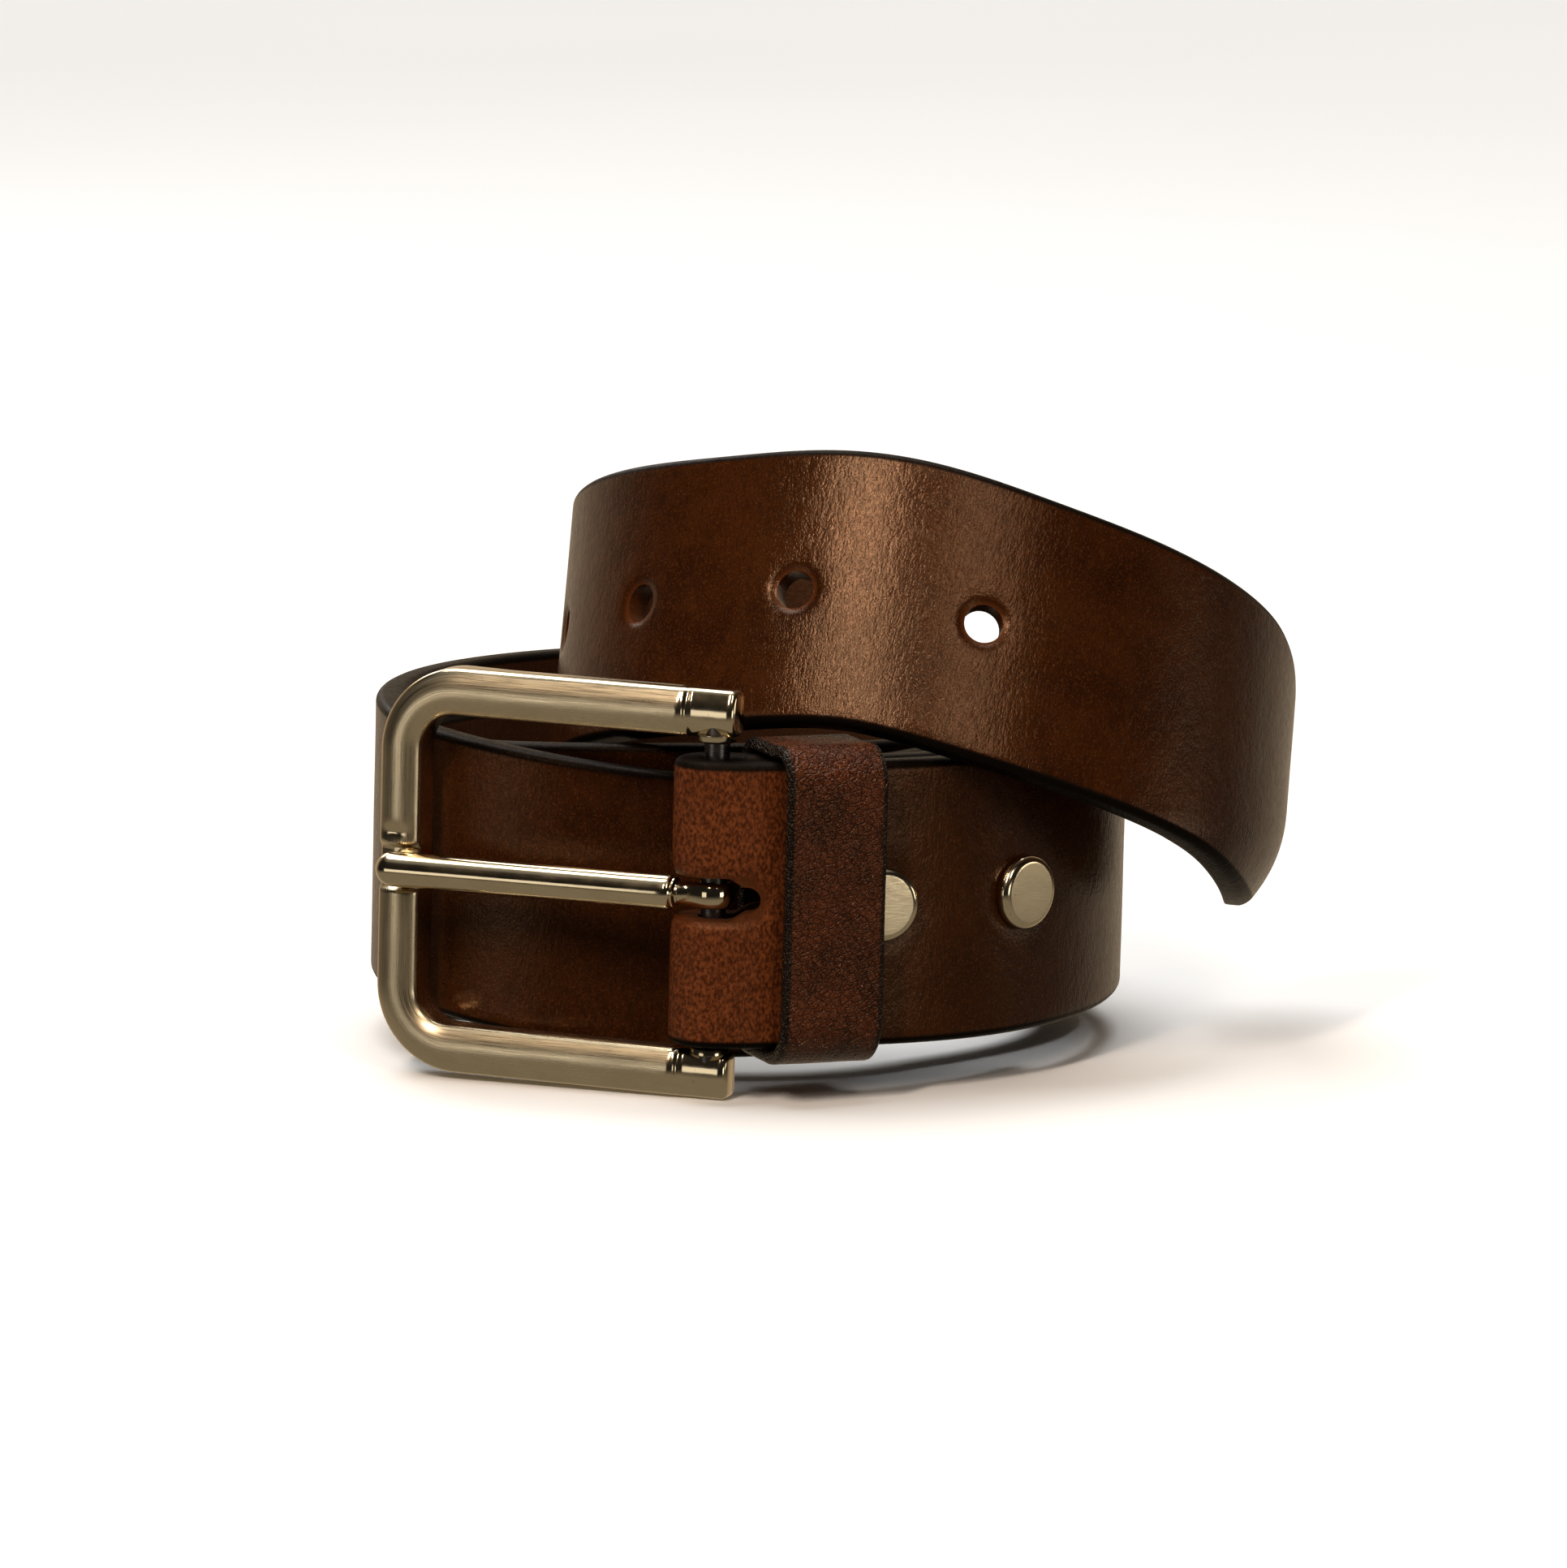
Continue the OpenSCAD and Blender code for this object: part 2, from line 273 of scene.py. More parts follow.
# ---------------------------------------------------------------------------------------------
# Mesh helpers
# ---------------------------------------------------------------------------------------------
def new_object(name, points, faces, smooth=True):
    """An object from points in millimetres."""
    mesh = bpy.data.meshes.new(name)
    mesh.from_pydata((np.asarray(points) * MM).tolist(), [], [list(map(int, f)) for f in faces])
    mesh.update()
    made = bmesh.new()
    made.from_mesh(mesh)
    bmesh.ops.recalc_face_normals(made, faces=made.faces)
    made.to_mesh(mesh)
    made.free()
    if smooth:
        mesh.polygons.foreach_set("use_smooth", [True] * len(mesh.polygons))
    obj = bpy.data.objects.new(name, mesh)
    bpy.context.scene.collection.objects.link(obj)
    return obj


def grid_faces(rows, across, closed_rows=False):
    """Faces of a tube of rows with across points each; it closes on itself, or has capped ends."""
    row = np.repeat(np.arange(rows if closed_rows else rows - 1), across)
    at = np.tile(np.arange(across), len(row) // across)
    here, ahead, beside = row * across, (row + 1) % rows * across, (at + 1) % across
    faces = np.stack([here + at, here + beside, ahead + beside, ahead + at], axis=1).tolist()
    if not closed_rows:
        faces.append(list(range(across))[::-1])
        faces.append(list(range((rows - 1) * across, rows * across)))
    return faces


def set_vectors(obj, name, values):
    """Stores a vector per vertex, which materials read by name."""
    data = obj.data.attributes.new(name, "FLOAT_VECTOR", "POINT")
    data.data.foreach_set("vector", np.asarray(values, np.float32).ravel())


def points_of(obj):
    co = np.zeros(len(obj.data.vertices) * 3)
    obj.data.vertices.foreach_get("co", co)
    return co.reshape(-1, 3) / MM


def arc(centre, radius, start, end, steps):
    """Points on an arc in a plane, angles in degrees."""
    t = np.radians(np.linspace(start, end, steps + 1))
    return np.asarray(centre) + radius * np.stack([np.cos(t), np.sin(t)], axis=1)


def evenly(points, count):
    """A number of evenly spaced points along an open line in a plane."""
    points = np.array(points)
    length = np.concatenate([[0], np.cumsum(np.linalg.norm(np.diff(points, axis=0), axis=1))])
    at = np.linspace(0, length[-1], count)
    return np.stack([np.interp(at, length, points[:, k]) for k in (0, 1)], axis=1)


def rod(centre, axis, radius, length):
    """Points and faces of a plain cylinder about a centre, used for cutting."""
    segments = 40
    axis = unit(axis)
    side = unit(np.cross(axis, [0.3, 0.5, 0.81]))
    other = np.cross(axis, side)
    t = np.linspace(0, 2 * np.pi, segments, endpoint=False)
    rim = radius * (np.cos(t)[:, None] * side + np.sin(t)[:, None] * other)
    points = np.vstack([centre - axis * length / 2 + rim, centre + axis * length / 2 + rim])
    return points, grid_faces(2, segments)


def cut(obj, shapes):
    """Cuts shapes, each points and faces in millimetres, out of an object."""
    points, faces = [], []
    for p, f in shapes:
        faces += [[i + len(points) for i in face] for face in f]
        points += np.asarray(p).tolist()
    cutter = new_object("cutter", points, faces, smooth=False)
    mod = obj.modifiers.new("cut", "BOOLEAN")
    mod.operation = "DIFFERENCE"
    mod.solver = "EXACT"
    mod.object = cutter
    evaluated = obj.evaluated_get(bpy.context.evaluated_depsgraph_get())
    mesh = bpy.data.meshes.new_from_object(evaluated)
    obj.modifiers.clear()
    obj.data = mesh
    bpy.data.objects.remove(cutter)


def sharpen(obj, degrees):
    """Smooth shading, with the edges sharper than an angle kept sharp."""
    obj.data.polygons.foreach_set("use_smooth", [True] * len(obj.data.polygons))
    obj.data.set_sharp_from_angle(angle=math.radians(degrees))


def ripple(x, y, seed):
    """A smooth, repeatable unevenness from -1 to 1 over two coordinates."""
    rng = np.random.default_rng(seed)
    total = np.zeros(np.broadcast(x, y).shape)
    for size in (1.0, 0.55, 0.3):
        for _ in range(4):
            angle, phase = rng.uniform(0, 2 * np.pi, 2)
            total += size * np.sin((x * math.cos(angle) + y * math.sin(angle)) / size + phase)
    return total / 5.0


# ---------------------------------------------------------------------------------------------
# Strap
# ---------------------------------------------------------------------------------------------
(PATH_P, PATH_T, PATH_W, PATH_N), PATH_HALF, PATH_RUN, FRONT_START, FRONT_DEG = strap_path()


def run_at(a):
    """Length along the strap at an angle of its front part."""
    return np.interp(a, FRONT_DEG, PATH_RUN[FRONT_START:])


HOLE_RUN = run_at(HOLE_DEG)
STUD_RUN = run_at(STUD_DEG)
SLOT_END = math.pi / 2 * FOLD_R + SLOT_RUN


def from_cuts(s, u):
    """Distance on the surface to the rim of the nearest hole or of the slot."""
    holes = [np.hypot(s - h, u + HOLE_DROP) - HOLE_D / 2 for h in HOLE_RUN]
    past = np.maximum(np.abs(s) - (SLOT_END - SLOT_H / 2), 0)
    slot = np.hypot(past, u - FRONT_SAG) - SLOT_H / 2
    return np.minimum(np.min(holes, axis=0), slot)


def strap_profile():
    """Corners of a section of the strap as (across, outward), and which lie on the flat faces."""
    flat = STRAP_W / 2 - EDGE_R
    near = np.arange(-4.4, 4.5, 0.45) - HOLE_DROP
    lines = spread(np.arange(-flat, flat, 1.3), near, [flat], least=0.3)
    lines[-1] = flat
    t = STRAP_T / 2
    quarter = np.radians(np.linspace(0, 90, 6))[1:-1]
    low = [(-flat - EDGE_R * math.sin(q), t - EDGE_R + EDGE_R * math.cos(q)) for q in quarter]
    low += [(-flat - EDGE_R, t - EDGE_R), (-flat - EDGE_R, EDGE_R - t)]
    low += [(-flat - EDGE_R * math.cos(q), EDGE_R - t - EDGE_R * math.sin(q)) for q in quarter]
    high = [(-u, -v) for u, v in low]
    outer = [(u, t) for u in lines[::-1]]
    inner = [(u, -t) for u in lines]
    return np.array(outer + low + inner + high), flat


def make_strap():
    profile, flat = strap_profile()
    rows, across = len(PATH_P), len(profile)
    core = np.clip(profile[:, 0], -flat, flat)
    rim = profile[:, 0] - core
    narrow = col(PATH_HALF / (STRAP_W / 2))
    thin = np.minimum(1, narrow * 6)
    u = core * narrow + rim * thin
    v = profile[:, 1] * thin
    s = np.repeat(PATH_RUN[:, None], across, axis=1)
    gap = np.maximum(from_cuts(s, u), 0)
    lip = 0.42 * bump(0, 0.55, gap) + 0.1 * bump(0, 1.8, gap)
    from_stud = np.min([np.hypot(s - r, u) for r in STUD_RUN], axis=0) - STUD_D / 2
    press = 0.16 * bump(0, 0.8, np.maximum(from_stud, 0))
    sway = 0.05 * ripple(s / 9, u / 7, 3)
    on_face = np.abs(v) > STRAP_T / 2 - 0.01
    depth = np.where(v > 0, lip + press - sway, 0.5 * lip)
    v = np.where(on_face, np.sign(v) * (np.abs(v) - depth), v)
    wave = 0.07 * ripple(s[:, :1] / 11, np.zeros_like(s[:, :1]), 8)
    u = u + wave * (np.abs(u) > flat - 0.85)
    points = PATH_P[:, None] + PATH_W[:, None] * u[..., None] + PATH_N[:, None] * v[..., None]
    points = to_row(points.reshape(-1, 3))
    strap = new_object("strap_leather", points, grid_faces(rows, across))

    shapes = []
    for p, _, w, n in zip(*strap_at(HOLE_DEG)):
        shapes.append(rod(to_row(p - w * HOLE_DROP), n, HOLE_D / 2, 8))
    shapes.append(slot_cutter())
    cut(strap, shapes)
    sharpen(strap, 50)
    mark_strap(strap, points, across)
    curl_corner(strap)
    return strap


def slot_cutter():
    """The prong slot: a round-ended opening through both plies and the fold."""
    c, t, w, n = (v[0] for v in bar_section())
    r, wide, taper = 1.75, SLOT_H / 2, 2.2
    past, depth = 10, 9
    end = arc([SLOT_RUN - r, 0], r, -90, 90, 14)
    x = np.linspace(SLOT_RUN - r - 0.2, taper, 12)
    side = np.stack([x, r + (wide - r) * (1 - ease(taper, SLOT_RUN - r, x))], axis=1)
    outline = np.vstack([end, side, [[-past, wide], [-past, -wide]], side[::-1] * [1, -1]])
    centre = c + w * FRONT_SAG
    sides = [centre + t * x + w * z + n * y for y in (-depth, depth) for x, z in outline]
    return to_row(np.array(sides)), grid_faces(2, len(outline))


def mark_strap(strap, base, across):
    """Gives each vertex its place on the strap, by the section that the nearest original point had."""
    tree = KDTree(len(base))
    for i, p in enumerate(base):
        tree.insert(Vector(p), i)
    tree.balance()
    points = points_of(strap)
    near = np.array([tree.find(Vector(p))[1] // across for p in points])
    rel = points - to_row(PATH_P[near])
    s = PATH_RUN[near] + np.sum(rel * PATH_T[near], axis=1)
    u = np.sum(rel * PATH_W[near], axis=1)
    v = np.sum(rel * PATH_N[near], axis=1)
    edge = PATH_HALF[near] - np.abs(u)
    flesh = (v < -STRAP_T / 2 + 0.5) & (edge > 0.9)
    set_vectors(strap, "run", np.stack([s, u, v], axis=1))
    set_vectors(strap, "place", np.stack([edge, from_cuts(s, u), flesh], axis=1))


def curl_corner(strap):
    """The tip's lower corner hangs free, and curls in towards the roll the lower it gets."""
    start_z, slant = 30.9, 0.16
    points = points_of(strap)
    away = unit(points[:, :2] - to_row(LOOP_AT)[:2])
    low = np.maximum(start_z - points[:, 2] - slant * points[:, 1], 0)
    past_roll = ease(40, 45, points[:, 0])
    points[:, :2] -= away * col(0.0095 * low**2.4 * past_roll)
    strap.data.vertices.foreach_set("co", (points * MM).ravel())


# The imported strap's box ties the roll's own coordinates to the row frame.
def row_shift():
    half = np.array([[1, 1], [1, -1], [-1, 1], [-1, -1]]) * 0.5
    corners = []
    for x, y in half * [2, STRAP_T]:
        corners.append(PATH_P + PATH_W * (PATH_HALF * x)[:, None] + PATH_N * y)
    corners = np.vstack(corners)
    own = (corners.min(0) + corners.max(0)) / 2
    low, high = (np.array(v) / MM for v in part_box("strap"))
    return (low + high) / 2 - own


SHIFT = row_shift()


def to_row(points):
    return np.asarray(points) + SHIFT


# ---------------------------------------------------------------------------------------------
# Keeper
# ---------------------------------------------------------------------------------------------
def fillet(corners, radii):
    """A closed outline with rounded corners, from plain ones."""
    step = 9
    out = []
    n = len(corners)
    for i, r in enumerate(radii):
        p, before, after = (np.array(corners[k % n], float) for k in (i, i - 1, i + 1))
        a, b = unit(before - p), unit(after - p)
        half = math.acos(float(np.clip(a @ b, -1, 1))) / 2
        centre = p + unit(a + b) * (r / math.sin(half))
        start = p + a * (r / math.tan(half)) - centre
        end = p + b * (r / math.tan(half)) - centre
        t0 = math.atan2(start[1], start[0])
        turn = (math.atan2(end[1], end[0]) - t0 + math.pi) % (2 * math.pi) - math.pi
        k = max(3, int(abs(math.degrees(turn)) / step))
        for t in np.linspace(t0, t0 + turn, k + 1):
            out.append(centre + r * np.array([math.cos(t), math.sin(t)]))
    return np.array(out)


def resample(loop, step):
    """Evenly spaced points round a closed outline."""
    closed = np.vstack([loop, loop[:1]])
    length = np.concatenate([[0], np.cumsum(np.linalg.norm(np.diff(closed, axis=0), axis=1))])
    count = int(length[-1] / step)
    at = np.linspace(0, length[-1], count, endpoint=False)
    return np.stack([np.interp(at, length, closed[:, k]) for k in (0, 1)], axis=1), at


def keeper_frame():
    p, t, w, n = (v[0] for v in strap_at([KEEPER_DEG]))
    c, d = math.cos(math.radians(KEEPER_YAW)), math.sin(math.radians(KEEPER_YAW))
    return p, t * c - n * d, w, n * c + t * d


def make_keeper():
    """A band of leather round the strap: its middle line runs in the plane across the strap."""
    t = KEEPER_T / 2
    top = KEEPER_HIGH + KEEPER_RISE
    corners = {
        (KEEPER_FRONT - t, KEEPER_LOW - t): 5.2,
        (KEEPER_FRONT - t, top + t): 4.2,
        (KEEPER_FRONT + 4.9, KEEPER_HIGH + t): 3.0,
        (KEEPER_BACK + t, KEEPER_HIGH + t): 3.0,
        (KEEPER_BACK + t, KEEPER_LOW - t): 3.0,
    }
    loop, length = resample(fillet(list(corners), corners.values()), 0.6)
    ahead = unit(np.roll(loop, -1, axis=0) - np.roll(loop, 1, axis=0))
    out = np.stack([-ahead[:, 1], ahead[:, 0]], axis=1)
    r = 0.62
    flat = KEEPER_W / 2 - r
    lines = np.linspace(-flat, flat, 26)
    quarter = np.radians(np.linspace(0, 90, 5))[1:-1]
    side = [(flat + r * math.sin(q), t - r + r * math.cos(q)) for q in quarter]
    side += [(flat + r, t - r), (flat + r, r - t)]
    side += [(flat + r * math.cos(q), r - t - r * math.sin(q)) for q in quarter]
    outer = [(x, t) for x in lines]
    inner = [(x, -t) for x in lines[::-1]]
    profile = np.array(outer + side + inner + [(-x, -y) for x, y in side])
    x, v = profile[:, 0][None, :], profile[:, 1][None, :]
    s = length[:, None]
    front = ease(0, 4, -(loop[:, :1] - KEEPER_BACK / 2))
    v = v + 0.09 * ripple(s / 5, x / 4, 5) * (v > t - 0.01) * front
    x = x + 0.14 * ripple(s / 7, np.zeros_like(s), 6) * np.sign(x) * (np.abs(x) > flat - 1)
    spot = loop[:, None, :] + out[:, None, :] * v[..., None]
    p, along, across, outward = keeper_frame()
    points = p + along * x[..., None] + across * spot[..., 1:2] - outward * spot[..., 0:1]
    faces = grid_faces(len(loop), len(profile), closed_rows=True)
    keeper = new_object("keeper_leather", to_row(points.reshape(-1, 3)), faces)
    sharpen(keeper, 50)
    edge = KEEPER_W / 2 - np.abs(x) + 0 * s
    flesh = (v < -t + 0.3) & (edge > 0.5)
    run = np.stack([s + 0 * x, x + 0 * s, v + 0 * x], axis=-1)
    set_vectors(keeper, "run", run.reshape(-1, 3))
    set_vectors(keeper, "place", np.stack([edge, 9 + 0 * edge, flesh * 1.0], axis=-1).reshape(-1, 3))
    return keeper


# ---------------------------------------------------------------------------------------------
# Buckle. Its own coordinates: X away from the far side, -Y to the front, Z up the heel bar.
# ---------------------------------------------------------------------------------------------
def buckle_axes():
    c, t, w, n = (v[0] for v in bar_section())
    turn = math.radians(-BUCKLE_TURN - BAR_DEG)
    x = t * math.cos(turn) - n * math.sin(turn)
    y = -n * math.cos(turn) - t * math.sin(turn)
    return c + w * FRONT_SAG, x, y, w


def from_buckle(points):
    c, x, y, z = buckle_axes()
    p = np.asarray(points, float)
    return to_row(c + p[..., 0:1] * x + p[..., 1:2] * y + p[..., 2:3] * z)


def frame_rails():
    """Matching points on the outer and inner outline as (x, z), down one arm and up the other."""
    r_out, r_in = 11.5, 4.6
    top, x0 = FRAME_H / 2, -FRAME_L
    win_top, win_x = top - ARM_W, x0 + SIDE_W
    start = win_x + 8.5
    arm = np.concatenate([np.arange(HEEL, -7, -0.2), np.linspace(-7.4, start, 22)])
    lead = np.linspace([start - 0.8, win_top], [win_x + r_in, win_top], 5)[:-1]
    drop = [(win_x, win_top - r_in - 0.8 * k) for k in (1, 2, 3)]
    corner_in = np.vstack([lead, arc([win_x + r_in, win_top - r_in], r_in, 90, 180, 18), drop])
    bend = arc([x0 + r_out, top - r_out], r_out, 90, 180, 40)
    corner_out = evenly([(start, top), *bend, (x0, drop[-1][1])], len(corner_in) + 1)[1:]
    half_z = np.linspace(drop[-1][1], 0, 46)[1:]
    rails = []
    for level, corner, side in ((top, corner_out, x0), (win_top, corner_in, win_x)):
        run = [(x, level) for x in arm]
        down = [(side, z) for z in half_z]
        half = np.vstack([run, corner, down])
        rails.append(np.vstack([half, half[-2::-1] * [1, -1]]))
    return rails


def frame_profile():
    """A section of the frame as (share from the outer to the inner edge, y), round in front."""
    t = FRAME_T / 2
    crown = [(f, -t + 1.2 * abs(2 * f - 1.04) ** 2.1) for f in np.linspace(0.1, 0.9, 15)]
    outer = [(0.0, y) for y in (0.0, -0.35, -0.65)] + [(0.008, -0.88), (0.028, -1.1), (0.06, -1.32)]
    inner = [(0.94, -1.42), (0.972, -1.2), (0.992, -0.9), (1.0, -0.55)]
    wall = [(1.0, y) for y in np.linspace(-0.1, t - 0.9, 6)]
    back = [(0.985, t - 0.4), (0.94, t - 0.1), (0.88, t), (0.5, t), (0.12, t), (0.06, t - 0.1),
            (0.015, t - 0.4), (0.0, t - 0.9), (0.0, 0.6)]
    return np.array(outer + crown + inner + wall + back)


def make_buckle_frame():
    outer, inner = frame_rails()
    profile = frame_profile()
    f, y = profile[:, 0][None, :, None], profile[:, 1][None, :]
    flat = outer[:, None, :] * (1 - f) + inner[:, None, :] * f
    x, z = flat[..., 0], flat[..., 1]
    frontness = np.clip((0.9 - y) / 3.2, 0, 1)
    # the heel lugs stand back from the arms, behind a polished groove
    lug = 0.38 * ease(-3.9, -3.2, x) + 0.2 * bump(-4.4, 0.42, x)
    # the prong's rest, and a small dent above it
    side = ease(-FRAME_L + SIDE_W + 2.5, -FRAME_L + SIDE_W, x)
    rest = (1 - ease(2.5, 3.3, np.abs(z))) * side
    dent = bump(4.6, 0.95, z) * bump(2.6 - FRAME_L, 1.5, x)
    y = y + (lug + (REST_DEEP + 0.02) * rest + 0.55 * dent) * frontness
    # the back is deepest behind the far side
    deep = SIDE_BACK * np.clip((TAPER_END - x) / (TAPER_END + FRAME_L - SIDE_W), 0, 1)
    y = y + deep * np.clip((y - 0.3) / 1.2, 0, 1)
    # the heel ends are rounded off
    end = np.clip((x - HEEL + 1.0) / 1.0, 0, 1)
    shrink = 1 - np.sqrt(np.clip(1 - end**2, 0.04, 1))
    mid_z = np.sign(z) * (FRAME_H / 2 - ARM_W / 2)
    z = z + (mid_z - z) * shrink * 0.28
    y = y + (0.3 - y) * shrink * 0.3
    points = np.stack([x, y, z], axis=-1).reshape(-1, 3)
    points, faces = add_lugs(points, grid_faces(len(outer), len(profile)))
    buckle = new_object("buckle_frame_metal", from_buckle(points), faces)
    sharpen(buckle, 40)
    steps = np.linalg.norm(np.diff((outer + inner) / 2, axis=0), axis=1)
    along = np.concatenate([[0], np.cumsum(steps)])[:, None] + 0 * x
    polish = np.maximum.reduce([
        ease(-5.6, -4.9, x),
        0.9 * rest,
        np.clip(1.32 * dent, 0, 1),
        0.9 * np.broadcast_to((profile[:, 0] < 0.07) & (profile[:, 1] < 0.1), x.shape),
        0.4 * np.broadcast_to(profile[:, 0] > 0.95, x.shape),
    ])
    aside = ARM_W * profile[:, 0][None, :] + 0.5 * y
    brush = np.stack([along, aside, polish], axis=-1).reshape(-1, 3)
    extra = np.tile([0, 0, 1.0], (len(points) - len(brush), 1))
    set_vectors(buckle, "brush", np.vstack([brush, extra]))
    return buckle


def add_lugs(points, faces):
    """The bosses that hold the heel bar, under the top arm and over the bottom one."""
    t = np.radians(np.arange(0, 360, 10))
    rings = [(2.6, 0.5), (2.6, -0.3), (2.45, -0.48), (2.1, -0.58), (1.72, -0.6)]
    points = points.tolist()
    for side in (-1, 1):
        start = len(points)
        for r, h in rings:
            level = side * (FRAME_H / 2 - ARM_W + h)
            points += np.stack([r * np.cos(t), r * np.sin(t), 0 * t + level], axis=1).tolist()
        faces += [[start + i for i in f] for f in grid_faces(len(rings), len(t))]
    return np.array(points), faces


def prong_frame():
    """Start and direction of the prong's centre line, towards its tip."""
    rest_y = -(FRAME_T / 2 - REST_DEEP + PRONG_R + FIT)
    rest_x = -FRAME_L + SIDE_W / 2
    start = np.array([0, EYE_Y, 0])
    return start, unit(np.array([rest_x, rest_y, 0]) - start)


def make_prong():
    """A polished rod with a collar and a neck, and a flat eye that wraps the heel bar."""
    start, along = prong_frame()
    neck = 1.55
    steps = [(4.2, neck), (4.5, neck + 0.05), (4.62, 1.95), (4.75, 2.1), (4.95, 2.1), (5.05, 1.98),
             (5.2, 2.12), (5.45, 2.3), (5.9, PRONG_R)]
    tip = FRAME_L - PRONG_R - 0.8
    steps += [(s, PRONG_R) for s in np.linspace(7, tip, 24)]
    for q in np.radians([15, 30, 45, 60, 72, 82, 88]):
        steps.append((tip + PRONG_R * math.sin(q), PRONG_R * math.cos(q)))
    t = np.radians(np.arange(0, 360, 7.5))
    front = np.array([along[1], -along[0], 0])
    up = np.array([0, 0, 1.0])
    rim = [front * math.cos(q) + up * math.sin(q) for q in t]
    rod_points = [start + along * s + r * spoke for s, r in steps for spoke in rim]
    faces = grid_faces(len(steps), len(t))
    eye_points, eye_faces = prong_eye(start + along * 4.5, along)
    faces += [[len(rod_points) + i for i in f] for f in eye_faces]
    points = np.array(rod_points + eye_points)
    prong = new_object("prong_metal", from_buckle(points), faces)
    sharpen(prong, 45)
    run = np.linalg.norm(points - start, axis=1)
    set_vectors(prong, "brush", np.stack([run, points[:, 2], np.full(len(points), 1.0)], axis=1))
    return prong


def prong_eye(join, along):
    """The strip that leaves the rod's end, passes in front of the heel bar and curls round it."""
    r = BAR_D / 2 + FIT + 0.62
    curl = np.radians(np.arange(-100, 155, 9))
    path = [join, join - along * 0.9, join - along * 1.9]
    for q in curl:
        path.append(np.array([r * math.cos(q), r * math.sin(q), 0]))
    path = np.array(path)
    ahead = unit(np.gradient(path, axis=0))
    out = np.cross(ahead, [0, 0, 1.0])
    t = np.radians(np.arange(0, 360, 15))
    flat = ease(0, 3, np.arange(len(path)))
    points = []
    for p, n, k in zip(path, out, flat):
        thick, wide = 1.5 - 0.9 * k, 1.5 + 0.2 * k
        points += [p + n * thick * math.cos(q) + np.array([0, 0, wide * math.sin(q)]) for q in t]
    return points, grid_faces(len(path), len(t))


def make_stud(i):
    """The head of a stud: a flat satin face inside a polished bevel, on its barrel."""
    p, t, w, n = (v[i] for v in strap_at(STUD_DEG))
    base = p + n * (STRAP_T / 2)
    rim = STUD_D / 2
    flat, top = rim - 1.05, 1.6
    profile = [(2.4, -7.4), (2.45, -0.3), (rim - 0.5, -0.25), (rim - 0.08, -0.05), (rim, 0.25), (rim, 0.55)]
    for q in np.radians([12, 25, 40, 55, 70, 82]):
        profile.append((flat + 1.05 * math.cos(q), 0.55 + 1.05 * math.sin(q)))
    for r in (flat, 3.7, 3.3, 2.7, 2.0, 1.3, 0.7, 0.25):
        profile.append((r, top + 0.04 * (1 - (r / flat) ** 2)))
    turn = np.radians(np.arange(0, 360, 6))
    rim_points = [t * math.cos(q) + w * math.sin(q) for q in turn]
    points = [base + n * h + r * spoke for r, h in profile for spoke in rim_points]
    stud = new_object(f"stud_{i + 1}_metal", to_row(points), grid_faces(len(profile), len(turn)))
    sharpen(stud, 35)
    radius = np.repeat([r for r, h in profile], len(turn))
    polish = np.repeat([0.0 if h > top - 0.005 else 1.0 for r, h in profile], len(turn))
    turns = np.tile(turn, len(profile))
    brush = np.stack([radius * np.cos(turns), radius * np.sin(turns), polish], axis=1)
    set_vectors(stud, "brush", brush)
    return stud


# ---------------------------------------------------------------------------------------------
# Materials
# ---------------------------------------------------------------------------------------------
WARM = (1.0, 0.62, 0.38, 1.0)


